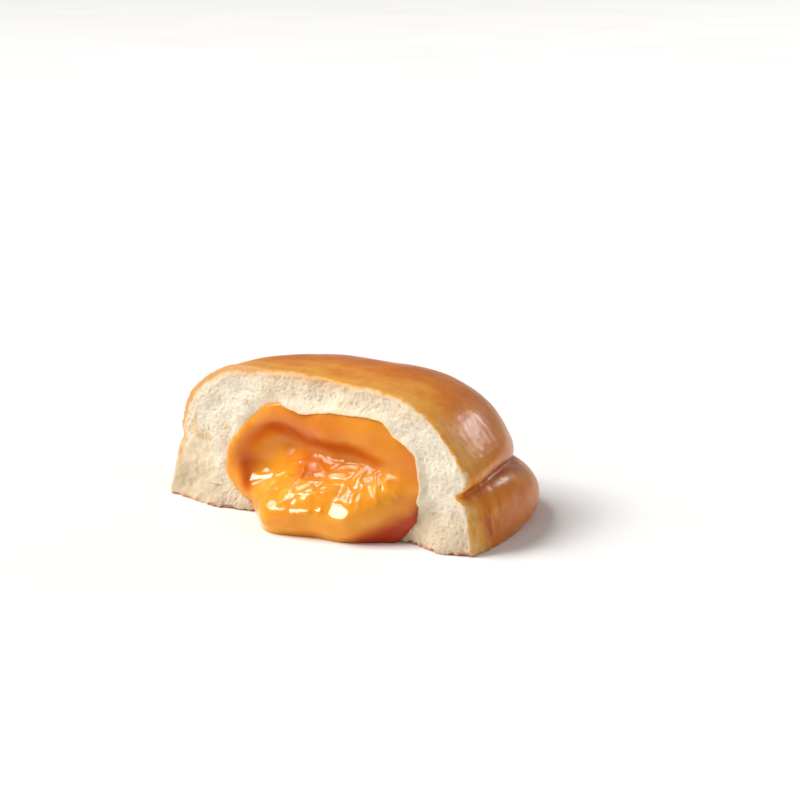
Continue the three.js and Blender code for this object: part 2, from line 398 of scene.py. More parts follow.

# What tints the crumb: the crust that it is near, jam, the floor, tan patches, and painted shade low on
# its face.
INSET_REACH = 6
RIGHT_INSET = 0.3
RIGHT_INSET_X = (10, 24)
STAIN_REACH = 1.1
BASE_WAVES = (1.2, (3, 3, 1.8), 2, 9.2)
BASE_Z = (1, 0.1)
TAN_PATCHES = (1, 4, 3, 7.7)
TAN_PATCH_RANGE = (0.1, 0.6)
TAN_PATCH_X = (-24, -33)
TAN_PATCH_Z = (30, 22)
TAN_TOP = 0.3
TAN_TOP_X = (-22, -14)
TAN_TOP_Z = (31, 35)
LOW_CRUMB_WAVES = (2, 6, 2, 3.3)
LOW_CRUMB_HEIGHT = 9
LOW_CRUMB_HEIGHT_AT_ENDS = 5
LOW_CRUMB_FADE = 9
LOW_CRUMB_RIGHT_X = (10, 30)
LOW_CRUMB_LEFT_X = (-26, -36)


class BreadSurface:
    """The points of the bread's mesh, their distances to other surfaces, and the bread's regions."""

    def __init__(self, mesh):
        self.points = points_of(mesh)
        self.normals = normals_of(mesh)
        self.edges = edges_of(mesh)
        self.measure()
        self.find_regions()

    def measure(self):
        jam = solid_surface("kaya_jam")

        def is_tear(centre, normal):
            in_front = centre.y < TEAR_Y + TEAR_DEPTH and normal.y < TEAR_FACING
            return in_front and distance_at(jam, centre) > TEAR_FROM_JAM

        def is_dome(centre, normal):
            is_base = centre.z < BASE_TOP and normal.z < BASE_FACING
            is_pocket = distance_at(jam, centre) < POCKET_TO_JAM
            return not (is_tear(centre, normal) or is_base or is_pocket)

        self.inset = self.smooth_distance(solid_surface("bread", is_dome))
        self.behind = self.smooth_distance(solid_surface("bread", is_tear))
        self.to_jam = self.smooth_distance(jam)

    def smooth_distance(self, surface):
        return smoothed(distance_to(surface, self.points), self.edges, DISTANCE_ROUNDS)

    def find_regions(self):
        x, _, z = self.points.T
        self.left = step(x, *LEFT_X)
        self.above_notch = step(z, *ABOVE_NOTCH_Z)
        self.film = step(x, *FILM_X) * step(z, *FILM_Z)
        self.wrap = WRAP_WIDTH + WRAP_AT_LEFT * self.left * self.above_notch
        self.wrap += waves(self.points, *WRAP_FRAY) + waves(self.points, *WRAP_DRIFT)
        crumb_start, crumb_full = (edge + TORN_WRAP * self.wrap for edge in TORN_INSET)
        self.torn = step(self.behind, *TORN_BEHIND) * step(self.inset, crumb_start, crumb_full)
        crust_end, crust_full = (edge + self.wrap for edge in CRUST_INSET)
        self.crust = step(self.inset, crust_end, crust_full)
        self.crust = np.maximum(self.crust, step(self.behind, *CRUST_BEHIND))


def make_bread():
    piece = remeshed_copy("bread", "bun_bread", BREAD_VOXEL)
    mesh = piece.data
    move_to(mesh, smoothed(points_of(mesh), edges_of(mesh), *BREAD_SMOOTHING))
    refine_tear(mesh)
    shape_bread(mesh)
    mesh.shade_smooth()
    return piece


def refine_tear(mesh):
    """Splits the faces of the torn face, which has much finer relief than the crust."""
    form = bmesh.new()
    form.from_mesh(mesh)
    edges = set()
    for face in form.faces:
        if face.calc_center_median().y < (TEAR_Y + TEAR_DEPTH) * MM and face.normal.y < CUT_FACING:
            edges.update(face.edges)
    bmesh.ops.subdivide_edges(form, edges=list(edges), cuts=TEAR_CUTS, use_grid_fill=True)
    form.to_mesh(mesh)
    form.free()
    move_to(mesh, smoothed(points_of(mesh), edges_of(mesh), *TEAR_SMOOTHING))


def shape_bread(mesh):
    bread = BreadSurface(mesh)
    relief, pit = crumb_relief(bread)
    moved = rolled_rim(bread)
    moved = with_crumb(bread, moved, relief)
    moved = with_crust(bread, moved)
    moved[:, 2] = np.maximum(moved[:, 2], 0)
    move_to(mesh, moved)
    hollow = ((smoothed(moved, bread.edges, HOLLOW_ROUNDS) - moved) * bread.normals).sum(axis=1)
    store_crust_looks(mesh, bread, hollow)
    store_crumb_looks(mesh, bread, pit)
    choose_materials(mesh, bread.crust)


def rolled_rim(bread):
    """The points, with the rim of the torn face rolled back into the crust."""
    x = bread.points[:, 0]
    width = RIM_WIDTH + bread.left * bread.above_notch
    in_rim = np.clip(1 - bread.inset / (RIM_INSET * width), 0, 1)
    back = np.clip(1 - bread.behind / (RIM_BEHIND * width), 0, 1) * width * in_rim**2
    flare = FLARE * bread.left * (1 - FLARE_LOSS * step(x, *FLARE_LOSS_X))
    moved = bread.points + way_from(ARCH_CENTRE, bread.points) * (flare * back)[:, None]
    moved[:, 1] += back
    return moved


def with_crumb(bread, moved, relief):
    """The moved points with the torn crumb's edge at the mouth, its relief and its ragged lower edge."""
    points, torn = bread.points, bread.torn
    _, y, z = points.T
    near_jam = bell(bread.to_jam / NEAR_JAM) * torn
    lap = over_jam(points) * bell(bread.to_jam / CRUMB_LAP_REACH) * step(y, *CRUMB_LAP_Y)
    moved = moved + way_from(MOUTH_CENTRE, points) * (mouth_growth(points) * lap)[:, None]
    moved[:, 1] = blend(moved[:, 1], MOUTH_EDGE_Y, MOUTH_EDGE_PULL * near_jam)
    moved[:, 1] -= CRUMB_LAP_FORWARD * lap
    moved[:, 1] -= torn * relief * (1 - RELIEF_LOSS * near_jam)
    moved[:, 2] += torn * RELIEF_LIFT * relief * step(z, *RELIEF_LIFT_Z)
    ragged = step(waves(points, *RAGGED_NOISE), *RAGGED_RANGE)
    moved[:, 2] += torn * RAGGED_HEIGHT * ragged * np.clip(1 - z / RAGGED_TOP, 0, 1)
    return moved


def with_crust(bread, moved):
    """The moved points with the crust's relief, and its rim smoothed."""
    points, behind = bread.points, bread.behind
    x, _, z = points.T
    dents = waves(points, *DENTS) + waves(points, *UNEVENNESS)
    by_tear = step(behind, *WRINKLE_START_BEHIND) * step(behind, *WRINKLE_END_BEHIND)
    wrinkles = ridges(points, *WRINKLES) * step(z, *WRINKLE_Z) * by_tear
    shoulder = SHOULDER * bread.left * step(z, *SHOULDER_Z)
    plain = bread.crust * step(bread.inset, *PLAIN_INSET)
    moved = moved + bread.normals * ((dents + wrinkles + shoulder) * plain)[:, None]
    moved[:, 0] -= TOE * step(x, *TOE_X) * step(z, *TOE_Z) * step(behind, *TOE_BEHIND)
    at_rim = bread.crust * step(behind, *SMOOTH_RIM_BEHIND)
    return blend(moved, smoothed(moved, bread.edges, SMOOTH_RIM_ROUNDS), at_rim[:, None])


def store_crust_looks(mesh, bread, hollow):
    x = bread.points[:, 0]
    rim = step(x, *PALE_RIM_X) * bread.above_notch * step(bread.behind, *PALE_RIM_BEHIND)
    store(mesh, "crust", bread.crust)
    store(mesh, "bake", crust_bake_and_shade(bread, hollow))
    store(mesh, "gloss", step(bread.behind, *GLOSS_BEHIND))
    store(mesh, "rim", rim)


def store_crumb_looks(mesh, bread, pit):
    points = bread.points
    x, _, z = points.T
    inset = bread.inset / INSET_REACH + RIGHT_INSET * step(x, *RIGHT_INSET_X)
    tan = step(waves(points, *TAN_PATCHES), *TAN_PATCH_RANGE)
    tan *= step(x, *TAN_PATCH_X) * step(z, *TAN_PATCH_Z)
    tan += TAN_TOP * step(z, *TAN_TOP_Z) * step(x, *TAN_TOP_X)
    at_ends = np.maximum(step(x, *LOW_CRUMB_RIGHT_X), step(x, *LOW_CRUMB_LEFT_X))
    low_top = LOW_CRUMB_HEIGHT + LOW_CRUMB_HEIGHT_AT_ENDS * at_ends
    store(mesh, "inset", np.clip(inset, 0, 1))
    store(mesh, "pit", np.clip(pit, 0, 1))
    store(mesh, "film", bread.film)
    store(mesh, "stain", bell(bread.to_jam / STAIN_REACH) * bread.torn)
    store(mesh, "base", step(z + waves(points, *BASE_WAVES), *BASE_Z))
    store(mesh, "tan", tan)
    # Painted shade low on the crumb's face, reaching higher at its ends.
    store(mesh, "low", step(z + waves(points, *LOW_CRUMB_WAVES), low_top, low_top - LOW_CRUMB_FADE))


def choose_materials(mesh, crust):
    is_crust = crust > CRUST_SHARE
    for face in mesh.polygons:
        face.material_index = CRUST_INDEX if is_crust[face.vertices[0]] else CRUMB_INDEX


def mouth_growth(points):
    """How far the edge of the mouth stands outside the solid's."""
    x, _, z = points.T
    peak = spot(x, *PEAK_X) * step(z, *PEAK_Z)
    right_top = spot(x, *RIGHT_TOP_X) * step(z, *RIGHT_TOP_Z)
    right_edge = step(x, *RIGHT_EDGE_X) * step(z, *RIGHT_EDGE_FOOT_Z) * step(z, *RIGHT_EDGE_HEAD_Z)
    at_right = RIGHT_TOP_GROWTH * right_top + RIGHT_EDGE_GROWTH * right_edge
    return MOUTH_GROWTH + PEAK_GROWTH * peak + at_right


def over_jam(points):
    """Where the crumb hangs over the edge of the jam: at the top and the right of the mouth."""
    x, _, z = points.T
    return step(x, *OVER_JAM_X) * step(z, *OVER_JAM_Z)


def crumb_relief(bread):
    """How far the torn crumb stands out, and how deep in a torn bubble each point is."""
    points, film = bread.points, bread.film
    x, y, z = points.T
    around = np.arctan2(z - ARCH_CENTRE[1], x - ARCH_CENTRE[0]) * ARCH_RADIUS
    along = np.column_stack([around, bread.inset, STRAND_DEPTH * y])
    along[:, 0] += waves(points, *STRAND_SWAY)
    along[:, 1] += waves(points, *STRAND_SHIFT)
    pit = bubbles(along, *LARGE_PITS) + bubbles(points, *MIDDLE_PITS) + bubbles(points, *SMALL_PITS)
    relief = waves(along, *TUFTS) + waves(along, *STRANDS) + waves(points, *FINE_CRUMB) - PIT_DEPTH * pit
    folds = ridges(points, *FILM_FOLDS) + waves(points, *FILM_GRAIN)
    return blend(relief, folds, FILM_SHARE * film), pit * (1 - FILM_PIT_LOSS * film)


def crust_bake_and_shade(bread, hollow):
    """How dark the crust is baked, with painted shade along its creases added: 0 is raw cream, about 0.4
    gold, 0.7 brown and 1 burnt.
    """
    points, behind = bread.points, bread.behind
    x, _, z = points.T
    top = step(z, *TOP_Z) * step(behind, *TOP_BEHIND)
    bake = BAKE + BACK_BAKE * step(behind, *BACK_BEHIND) + TOP_BAKE * top
    bake += waves(points, *BAKE_CLOUDS)
    bake += waves(points, *BAKE_STREAKS) * step(behind, *STREAKS_BEHIND)
    bake += LEFT_EDGE_BAKE * step(x, *LEFT_EDGE_X) * step(behind, *LEFT_EDGE_BEHIND)
    inner_edge = step(bread.inset, bread.wrap - INNER_EDGE_WIDTH, bread.wrap)
    bake += INNER_EDGE_BAKE * inner_edge * step(behind, *INNER_EDGE_BEHIND) * bread.above_notch
    right_foot = step(x, *RIGHT_FOOT_X) * step(z, *RIGHT_FOOT_Z) * step(behind, *RIGHT_FOOT_BEHIND)
    left_foot = step(x, *LEFT_FOOT_X) * step(z, *LEFT_FOOT_Z) * step(behind, *LEFT_FOOT_BEHIND)
    bake += RIGHT_FOOT_BAKE * right_foot + LEFT_FOOT_BAKE * left_foot
    return np.clip(bake + crease_browning_and_shade(bread, hollow), 0, 1)


def crease_browning_and_shade(bread, hollow):
    """How much darker the crust is along its creases, partly browning and partly painted shade, and most
    where it hangs over them, which is painted shade.
    """
    points, behind = bread.points, bread.behind
    x, _, z = points.T
    plain_foot = (x < PLAIN_FOOT_X) & (z < PLAIN_FOOT_TOP)
    crease = points[(hollow > CREASE_HOLLOW) & (behind > CREASE_BEHIND) & ~plain_foot]
    near = bell(distance_to_points(crease, points) / CREASE_REACH) * step(behind, *CREASE_FADE_BEHIND)
    return (CREASE_BROWNING_AND_SHADE + OVERHANG_SHADE * step(bread.normals[:, 2], *OVERHANG_FACING)) * near


# The jam.

# The jam's skin: how far it stands out, and its crinkles as (height, wavelengths, layer, width).
JAM_FRONT_Y = (TEAR_Y + 4, TEAR_Y)
JAM_EDGE_REACH = 2
SKIN_OUT = 0.45
SKIN_WARP = (1.2, 5, 2, 9.4)
CRINKLES = [
    (0.4, (5, 9, 7), 1.3, 0.2),
    (0.3, (7, 5, 6), 3.1, 0.16),
]
CRINKLE_SHARE = 0.05
CRINKLE_SHARE_ON_SHELF = 0.8
SHELF_FACING = (0.1, 0.5)
SHELF_BOTTOM_Z = (7.5, 10.5)
SHELF_TOP_Z = (21, 17)
SWELL = (0.16, 8, 2, 6.3)
JAM_FOOT_SWELL = 0.8
JAM_FOOT_HEIGHT = 0.7
JAM_LAP_SWELL = 0.5
JAM_LAP_WAVES = (0.5, 3, 2, 8.8)
HIDDEN_EDGE_SINK = 0.25
HIDDEN_EDGE_GROWTH = 1.2

# Creases that stand up in the jam's skin, as lines of points.
SKIN_CREASES = [
    [(-7.4, -35, 11.6), (-4.3, -37.6, 11.6), (-1.6, -39.3, 10.8)],
    [(-1.1, -41, 8.8), (2.8, -39.5, 11.1), (7.6, -35.3, 13.9)],
    [(4.3, -31.8, 15.8), (8.9, -30.8, 16.3), (12.7, -30.1, 16.5)],
    [(16.1, -29.9, 17), (19.3, -33.9, 14.1), (18.4, -36.7, 11.7)],
    [(17.6, -27.5, 18.9), (25, -29.7, 17.3), (27.8, -31, 14.8), (30, -30.5, 13.4)],
]
SKIN_CREASE_HEIGHT = 0.5
SKIN_CREASE_WIDTH = 0.65

# Flat places in the jam's skin: a line of points and a half width each, all turned the same way. They fade
# out over a range of half widths.
FLATS = [
    ([(15.7, -38.7, 8.5), (17.5, -38.6, 8.5)], 2.4),
    ([(-21, -27.5, 9.7), (-15.4, -26.5, 10.75)], 1.2),
    ([(-10.8, -29.8, 12.4), (-7.3, -28.8, 13.6)], 0.7),
    ([(3.3, -41.8, 7.4), (8.3, -41.1, 8)], 0.9),
    ([(10.3, -39.75, 8.6), (11.2, -39.7, 8.65)], 0.8),
]
FLAT_NORMAL = (0.041, -0.823, 0.567)
FLAT_FADE = (1.4, 0.7)

# Ways from the jam to the bright side of the room, along which the jam's own body casts a shadow that is
# painted into its colour: how far that shadow reaches on them, and how far outside the skin they start.
LIGHT_WAYS = [
    (-0.5, -0.3, 0.8),
    (-0.8, -0.1, 0.6),
    (-0.7, -0.6, 0.6),
    (-0.2, 0.1, 1),
    (0, -0.3, 1),
    (-0.9, -0.5, 0.2),
    (-1, -0.3, 0.15),
    (-0.8, -0.6, 0.3),
]
LIGHT_REACH = 25
LIGHT_START = 0.3

# Painted shade on the jam: where its own body hides the light ways, and what is added at places such as
# its walls, hollows and edges.
SHADE_ROUNDS = 6
MOUTH_Z = (9, 13)
MOUTH_OWN_SHADOW = 0.4
LOW_RIGHT_OWN_SHADOW = 0.9
LOW_RIGHT_SLOPE = 0.6
LOW_RIGHT_X = 24
LOW_RIGHT_Z = (9, 1)
MOUTH_SHADE = 0.15
RIDGE_SHADE = 0.2
RIDGE_X = (-4, 5.5)
RIDGE_Z = (13, 15)
RIDGE_LEAN = 8
RIDGE_LEAN_Z = (20, 15)
RIGHT_WALL_SHADE = 0.15
RIGHT_WALL_X = (-12, -4)
RIGHT_WALL_Z = (14, 18)
DOWNWARD_FACE_SHADE = 0.2
JAM_OVERHANG_FACING = (-0.2, -0.7)
TOP_WALL_SHADE = 0.3
TOP_WALL_X = (-13, 4)
TOP_WALL_Z = (24, 3)
LEFT_WALL_SHADE = 0.42
LEFT_WALL_FOOT_SHADE = 0.3
LEFT_WALL_FOOT_Z = (13, 9)
LEFT_WALL_X = (-24.4, 1.8)
LEFT_WALL_LEAN = 0.35
LEFT_WALL_LEAN_Z = 14
LEFT_WALL_BOTTOM_Z = (4.5, 7.5)
LEFT_WALL_TOP_Z = (20, 12)
SHELF_HEAD_SHADE = 0.22
SHELF_HEAD_X = (1, 5)
SHELF_HEAD_Z = (15, 1.5)
RIGHT_RIM_SHADE = 0.45
RIGHT_RIM_X = (22, 28)
RIGHT_RIM_Z = (15, 10)

# Where the jam is wet, which makes it glossier.
WET_Z = (17, 15)


class JamSurface:
    """The points of the jam's mesh before its skin is shaped, and where they lie."""

    def __init__(self, mesh):
        self.points = points_of(mesh)
        self.normals = normals_of(mesh)
        self.edges = edges_of(mesh)
        self.front = step(self.points[:, 1], *JAM_FRONT_Y)
        self.at_edge = bell(distance_to(solid_surface("bread"), self.points) / JAM_EDGE_REACH)
        self.hidden_edge = self.at_edge * over_jam(self.points)


def make_jam():
    piece = remeshed_copy("kaya_jam", "kaya_jam_run", JAM_VOXEL)
    mesh = piece.data
    move_to(mesh, smoothed(points_of(mesh), edges_of(mesh), *JAM_SMOOTHING))
    jam = JamSurface(mesh)
    move_to(mesh, jam_skin(jam))
    depth = jam_painted_shade(jam, own_shadow(mesh))
    # The "depth" attribute is painted shade.
    store(mesh, "depth", smoothed(depth, jam.edges, SHADE_ROUNDS))
    store(mesh, "wet", step(jam.points[:, 2], *WET_Z))
    mesh.shade_smooth()
    return piece


def jam_skin(jam):
    """The jam's points with its skin: crinkles, creases, flat places and edges that lap the crumb."""
    points = jam.points
    z = points[:, 2]
    shelf = step(jam.normals[:, 2], *SHELF_FACING) * (1 - jam.at_edge)
    shelf *= step(z, *SHELF_BOTTOM_Z) * step(z, *SHELF_TOP_Z)
    warped = points + waves(points, *SKIN_WARP)[:, None]
    crinkles = np.zeros(len(points))
    for height, sizes, layer, width in CRINKLES:
        crinkles += height * bell(waves(warped, 1, sizes, 1, layer) / width)
    crinkles *= CRINKLE_SHARE + CRINKLE_SHARE_ON_SHELF * shelf
    foot = JAM_FOOT_SWELL * bell(z / JAM_FOOT_HEIGHT)
    creases = [bell(distance_to_line(line, points) / SKIN_CREASE_WIDTH) for line in SKIN_CREASES]
    out = SKIN_OUT + jam.front * (waves(points, *SWELL) + crinkles + foot)
    out += SKIN_CREASE_HEIGHT * np.max(creases, axis=0)
    out += (jam.at_edge - jam.hidden_edge) * (JAM_LAP_SWELL + waves(points, *JAM_LAP_WAVES))
    out -= HIDDEN_EDGE_SINK * jam.hidden_edge
    moved = points + jam.normals * out[:, None]
    grown = (mouth_growth(points) + HIDDEN_EDGE_GROWTH) * jam.front * jam.hidden_edge
    moved += way_from(MOUTH_CENTRE, points) * grown[:, None]
    for line, half_width in FLATS:
        from_line = moved - nearest_on_line(line, moved)
        in_flat = step(np.linalg.norm(from_line, axis=1) / half_width, *FLAT_FADE)
        moved -= (from_line @ FLAT_NORMAL * in_flat)[:, None] * FLAT_NORMAL
    moved[:, 2] = np.maximum(moved[:, 2], 0)
    return moved


def jam_painted_shade(jam, shadowed):
    """Painted shade on the jam, from its own shadow on the light ways and at its walls and hollows."""
    x, _, z = jam.points.T
    in_mouth = step(z, *MOUTH_Z)
    low_right = step(z - LOW_RIGHT_SLOPE * (x - LOW_RIGHT_X), *LOW_RIGHT_Z)
    ridge = spot(x - RIDGE_LEAN * step(z, *RIDGE_LEAN_Z), *RIDGE_X) * step(z, *RIDGE_Z)
    right_wall = step(x, *RIGHT_WALL_X) * step(z, *RIGHT_WALL_Z)
    top_wall = spot(x, *TOP_WALL_X) * spot(z, *TOP_WALL_Z)
    left_wall = spot(x - LEFT_WALL_LEAN * (LEFT_WALL_LEAN_Z - z), *LEFT_WALL_X)
    left_wall *= step(z, *LEFT_WALL_BOTTOM_Z) * step(z, *LEFT_WALL_TOP_Z)
    shelf_head = spot(x, *SHELF_HEAD_X) * spot(z, *SHELF_HEAD_Z)
    right_rim = jam.at_edge * step(x, *RIGHT_RIM_X) * step(z, *RIGHT_RIM_Z)
    overhang = step(jam.normals[:, 2], *JAM_OVERHANG_FACING)
    walls = RIDGE_SHADE * ridge + RIGHT_WALL_SHADE * right_wall + TOP_WALL_SHADE * top_wall
    depth = shadowed * jam.front * np.maximum(MOUTH_OWN_SHADOW * in_mouth, LOW_RIGHT_OWN_SHADOW * low_right)
    depth += in_mouth * (MOUTH_SHADE + walls + DOWNWARD_FACE_SHADE * overhang)
    depth += (LEFT_WALL_SHADE + LEFT_WALL_FOOT_SHADE * step(z, *LEFT_WALL_FOOT_Z)) * left_wall
    return depth + SHELF_HEAD_SHADE * shelf_head + RIGHT_RIM_SHADE * right_rim


def own_shadow(mesh):
    """How many of the light ways the jam's own body hides from each vertex, from 0 to 1: its own shadow.
    """
    points = points_of(mesh)
    starts = (points + LIGHT_START * normals_of(mesh)).tolist()
    body = BVHTree.FromPolygons(points.tolist(), [tuple(face.vertices) for face in mesh.polygons])
    hidden = np.zeros(len(points))
    for way in LIGHT_WAYS:
        way = Vector(way).normalized()
        hidden += [body.ray_cast(start, way, LIGHT_REACH)[0] is not None for start in starts]
    return hidden / len(LIGHT_WAYS)


# Material helpers.

# A mix node's sockets for a share and two colours, by number, because others have the same names.
MIX_COLOUR_INPUTS = (0, 6, 7)
MIX_COLOUR_OUTPUT = 2


def colour(red, green, blue):
    """A screen colour of 0 to 255 as a linear one."""
    linear = []
    for value in (red, green, blue):
        share = value / 255
        linear.append(share / 12.92 if share <= 0.04045 else ((share + 0.055) / 1.055) ** 2.4)
    return (*linear, 1)


def add(tree, kind, inputs, **settings):
    """A new node. Each input is a number, a colour or another node's output."""
    node = tree.nodes.new(kind)
    for name, value in settings.items():
        setattr(node, name, value)
    for name, value in inputs.items():
        socket = node.inputs[name]
        if isinstance(value, bpy.types.NodeSocket):
            tree.links.new(value, socket)
        else:
            socket.default_value = value
    return node


def attribute(tree, name):
    return add(tree, "ShaderNodeAttribute", {}, attribute_name=name).outputs["Fac"]


def grain(tree, scale, detail, roughness=0.5, stretch=(1, 1, 1)):
    """Noise over the object's own space. A scale of 1000 is a grain of about a millimetre."""
    place = add(tree, "ShaderNodeTexCoord", {}).outputs["Object"]
    stretched = add(tree, "ShaderNodeMapping", {"Vector": place, "Scale": stretch}).outputs["Vector"]
    inputs = {"Vector": stretched, "Scale": scale, "Detail": detail, "Roughness": roughness}
    return add(tree, "ShaderNodeTexNoise", inputs).outputs["Fac"]


def ranged(tree, value, low, high, to_low=0.0, to_high=1.0):
    """A value moved from one range to another, and kept inside it."""
    inputs = {"Value": value, "From Min": low, "From Max": high, "To Min": to_low, "To Max": to_high}
    return add(tree, "ShaderNodeMapRange", inputs, clamp=True).outputs["Result"]


def summed(tree, first, second):
    return add(tree, "ShaderNodeMath", {0: first, 1: second}, operation="ADD").outputs["Value"]


def between(tree, share, first, second):
    """A colour between two, where each is a colour or another node's output."""
    inputs = dict(zip(MIX_COLOUR_INPUTS, (share, first, second)))
    return add(tree, "ShaderNodeMix", inputs, data_type="RGBA").outputs[MIX_COLOUR_OUTPUT]


def tinted(tree, base, tint, value, over, share):
    """A colour mixed with a tint, from none of it to a share of it as a value runs over a range."""
    return between(tree, ranged(tree, value, *over, 0, share), base, tint)


def ramp(tree, share, stops):
    """A colour picked along a ramp of (place, colour) stops."""
    node = add(tree, "ShaderNodeValToRGB", {"Fac": share})
    elements = node.color_ramp.elements
    for place, _ in stops[2:]:
        elements.new(place)
    for element, (place, tint) in zip(elements, stops):
        element.position = place
        element.color = tint
    return node.outputs["Color"]


def bump(tree, height, strength, distance, below=None):
    """A normal with a fine relief over a distance in millimetres, laid over the relief below it."""
    inputs = {"Height": height, "Strength": strength, "Distance": distance * MM}
    if below is not None:
        inputs["Normal"] = below
    return add(tree, "ShaderNodeBump", inputs).outputs["Normal"]


def new_material(name):
    material = bpy.data.materials.new(name)
    material.use_nodes = True
    tree = material.node_tree
    tree.nodes.clear()
    return material, tree


def finish_material(tree, inputs):
    shader = add(tree, "ShaderNodeBsdfPrincipled", inputs)
    output = add(tree, "ShaderNodeOutputMaterial", {})
    tree.links.new(shader.outputs["BSDF"], output.inputs["Surface"])


# Materials.

# Where most values of a grain lie, and how far a grain shifts the crust's bake and the crumb's edge.
GRAIN_RANGE = (0.3, 0.7)
CRUST_MOTTLE = 0.06
CRUMB_EDGE_SWAY = 0.2

# The colours of the crust as it bakes, from raw to burnt, and the other colours.
CRUST_STOPS = [
    (0.0, colour(246, 226, 190)),
    (0.22, colour(230, 165, 68)),
    (0.42, colour(217, 124, 27)),
    (0.66, colour(180, 83, 13)),
    (1.0, colour(84, 34, 12)),
]
RIM_CRUST = colour(212, 163, 104)
BASE_CRUST = colour(214, 160, 124)
CRUMB_LIGHT = colour(240, 229, 209)
CRUMB_SHADE = colour(228, 204, 166)
CRUMB_LOW_SHADE = colour(208, 187, 156)
CRUMB_TAN = colour(226, 192, 132)
CRUMB_EDGE = colour(226, 172, 112)
CRUMB_FILM = colour(240, 220, 182)
JAM_STAIN = colour(246, 206, 140)
JAM_LIGHT = colour(246, 170, 48)
JAM_DEEP = colour(228, 130, 30)
JAM_SHADE = colour(190, 64, 8)
FLOOR_SHADE = colour(243, 242, 240)
FLOOR_LIGHT = colour(247, 246, 244)


def crust_mottle(tree):
    clouds = grain(tree, scale=180, detail=6, roughness=0.65)
    return ranged(tree, clouds, *GRAIN_RANGE, -CRUST_MOTTLE, CRUST_MOTTLE)


def crust_colour(tree):
    specks = ranged(tree, grain(tree, scale=1300, detail=2), 0.6, 0.72, to_low=0, to_high=0.07)
    # The "bake" attribute holds the browning and the painted shade along the creases.
    bake = summed(tree, summed(tree, attribute(tree, "bake"), crust_mottle(tree)), specks)
    baked = ramp(tree, bake, CRUST_STOPS)
    return tinted(tree, baked, RIM_CRUST, attribute(tree, "rim"), over=(0, 1), share=0.75)


def crust_material():
    material, tree = new_material("crust")
    mottle = crust_mottle(tree)
    leather = grain(tree, scale=420, detail=4, roughness=0.6)
    fine = grain(tree, scale=1600, detail=3)
    leather_relief = bump(tree, leather, strength=0.1, distance=0.4)
    finish_material(tree, {
        "Base Color": crust_colour(tree),
        "Roughness": ranged(tree, mottle, -CRUST_MOTTLE, CRUST_MOTTLE, to_low=0.32, to_high=0.48),
        "Normal": bump(tree, fine, strength=0.1, distance=0.2, below=leather_relief),
        "Specular IOR Level": 0.12,
        "Coat Weight": ranged(tree, attribute(tree, "gloss"), 0, 1, to_low=0.05, to_high=0.4),
        "Coat Roughness": 0.22,
        "Subsurface Weight": 0.15,
        "Subsurface Radius": (1.0, 0.5, 0.2),
        "Subsurface Scale": 1.5 * MM,
    })
    return material


def crumb_colour(tree):
    """White crumb, with tints laid over it one after another; those in the pits and low on its face are
    painted shade. The last is the crust's own colour.
    """
    mottled = grain(tree, scale=240, detail=5, roughness=0.6, stretch=(1, 1, 1.8))
    uneven = ranged(tree, mottled, *GRAIN_RANGE, -CRUMB_EDGE_SWAY, CRUMB_EDGE_SWAY)
    to_edge = summed(tree, attribute(tree, "inset"), uneven)
    base = tinted(tree, CRUMB_LIGHT, CRUMB_SHADE, mottled, over=(0.4, 0.75), share=0.5)
    base = tinted(tree, base, CRUMB_TAN, attribute(tree, "tan"), over=(0, 1), share=0.7)
    # Painted shade in the torn bubbles' pits.
    base = tinted(tree, base, CRUMB_SHADE, attribute(tree, "pit"), over=(0.25, 0.9), share=0.65)
    base = tinted(tree, base, CRUMB_FILM, attribute(tree, "film"), over=(0.2, 1), share=0.7)
    base = tinted(tree, base, CRUMB_EDGE, to_edge, over=(0.5, 0), share=0.9)
    base = tinted(tree, base, JAM_STAIN, attribute(tree, "stain"), over=(0.2, 1), share=0.7)
    # Painted shade low on the crumb's face.
    base = tinted(tree, base, CRUMB_LOW_SHADE, attribute(tree, "low"), over=(0, 1), share=0.8)
    base = tinted(tree, base, BASE_CRUST, attribute(tree, "base"), over=(0, 1), share=1)
    return tinted(tree, base, crust_colour(tree), attribute(tree, "crust"), over=(0.1, 0.6), share=1)


def crumb_material():
    material, tree = new_material("crumb")
    fine = grain(tree, scale=2000, detail=4, roughness=0.65, stretch=(1, 1, 1.4))
    finish_material(tree, {
        "Base Color": crumb_colour(tree),
        "Roughness": 0.8,
        "Normal": bump(tree, fine, strength=0.5, distance=0.2),
        "Specular IOR Level": 0.25,
        "Subsurface Weight": 0.6,
        "Subsurface Radius": (1.0, 0.8, 0.6),
        "Subsurface Scale": 1.0 * MM,
    })
    return material


def jam_material():
    material, tree = new_material("kaya_jam")
    clouds = grain(tree, scale=110, detail=3)
    base = tinted(tree, JAM_LIGHT, JAM_DEEP, clouds, over=(0.4, 0.75), share=0.7)
    # Painted shade from the "depth" attribute: JAM_SHADE where the jam is in its own shadow, in its mouth
    # and at its walls and edges.
    base = tinted(tree, base, JAM_SHADE, attribute(tree, "depth"), over=(0.1, 0.85), share=1)
    finish_material(tree, {
        "Base Color": base,
        "Roughness": ranged(tree, attribute(tree, "wet"), 0, 1, to_low=0.26, to_high=0.1),
        "IOR": 1.42,
        "Normal": bump(tree, grain(tree, scale=420, detail=2), strength=0.04, distance=0.3),
        "Subsurface Weight": 0.85,
        "Subsurface Radius": (1.0, 0.36, 0.12),
        "Subsurface Scale": 1.4 * MM,
    })
    return material


def floor_material():
    material, tree = new_material("floor")
    clouds = grain(tree, scale=6, detail=2)
    finish_material(tree, {
        "Base Color": tinted(tree, FLOOR_SHADE, FLOOR_LIGHT, clouds, over=GRAIN_RANGE, share=1),
        "Roughness": 0.9,
        "Specular IOR Level": 0.0,
    })
    return material


# The stage.

